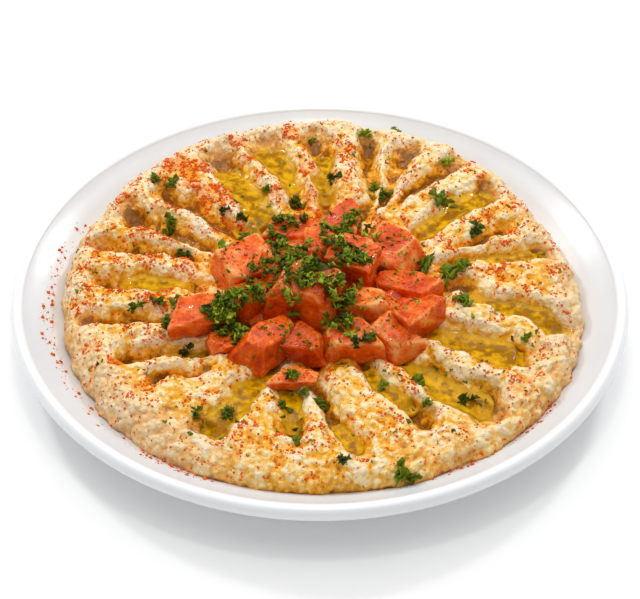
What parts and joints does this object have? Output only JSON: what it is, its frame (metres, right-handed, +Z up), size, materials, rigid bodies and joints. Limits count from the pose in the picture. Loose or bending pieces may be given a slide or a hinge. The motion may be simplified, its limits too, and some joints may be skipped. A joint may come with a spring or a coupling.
{
  "type": "plate of baba ganoush",
  "caption": "Round white plate of baba ganoush, its spoon-drawn ridges holding olive oil, topped with diced tomato, chopped parsley and paprika; served as a dip.",
  "frame": {"origin": "centre of the foot ring, on the plane that the plate stands on", "axes": "+Z up, +Y towards the back of the plate, +X to the right"},
  "size_m": [0.2598, 0.2598, 0.0495],
  "materials": {
    "white_glaze": "smooth, glossy",
    "dip": "moist, lumpy paste",
    "tomato": "wet cut flesh",
    "olive_oil": "clear golden liquid",
    "parsley": "curly leaf, chopped"
  },
  "bodies": {
    "root": {"plate": "white_glaze", "baba_ganoush": "dip", "tomato_die_01": "tomato", "tomato_die_02": "tomato", "tomato_die_03": "tomato", "tomato_die_04": "tomato", "tomato_die_05": "tomato", "tomato_die_06": "tomato", "tomato_die_07": "tomato", "tomato_die_08": "tomato", "tomato_die_09": "tomato", "tomato_die_10": "tomato", "tomato_die_11": "tomato", "tomato_die_12": "tomato", "tomato_die_13": "tomato", "tomato_die_14": "tomato", "tomato_die_15": "tomato", "tomato_die_16": "tomato", "tomato_die_17": "tomato", "tomato_die_18": "tomato", "tomato_die_19": "tomato", "tomato_die_20": "tomato", "tomato_die_21": "tomato", "tomato_die_22": "tomato", "tomato_die_23": "tomato", "tomato_die_24": "tomato", "olive_oil_a": "olive_oil", "olive_oil_b": "olive_oil", "olive_oil_c": "olive_oil", "olive_oil_g": "olive_oil", "olive_oil_i": "olive_oil", "olive_oil_k": "olive_oil", "olive_oil_l": "olive_oil", "olive_oil_m": "olive_oil", "olive_oil_n": "olive_oil", "olive_oil_o": "olive_oil", "olive_oil_p": "olive_oil", "olive_oil_q": "olive_oil", "olive_oil_r": "olive_oil", "olive_oil_t": "olive_oil", "parsley_heap": "parsley", "parsley_heap_left": "parsley"}
  },
  "joints": []
}
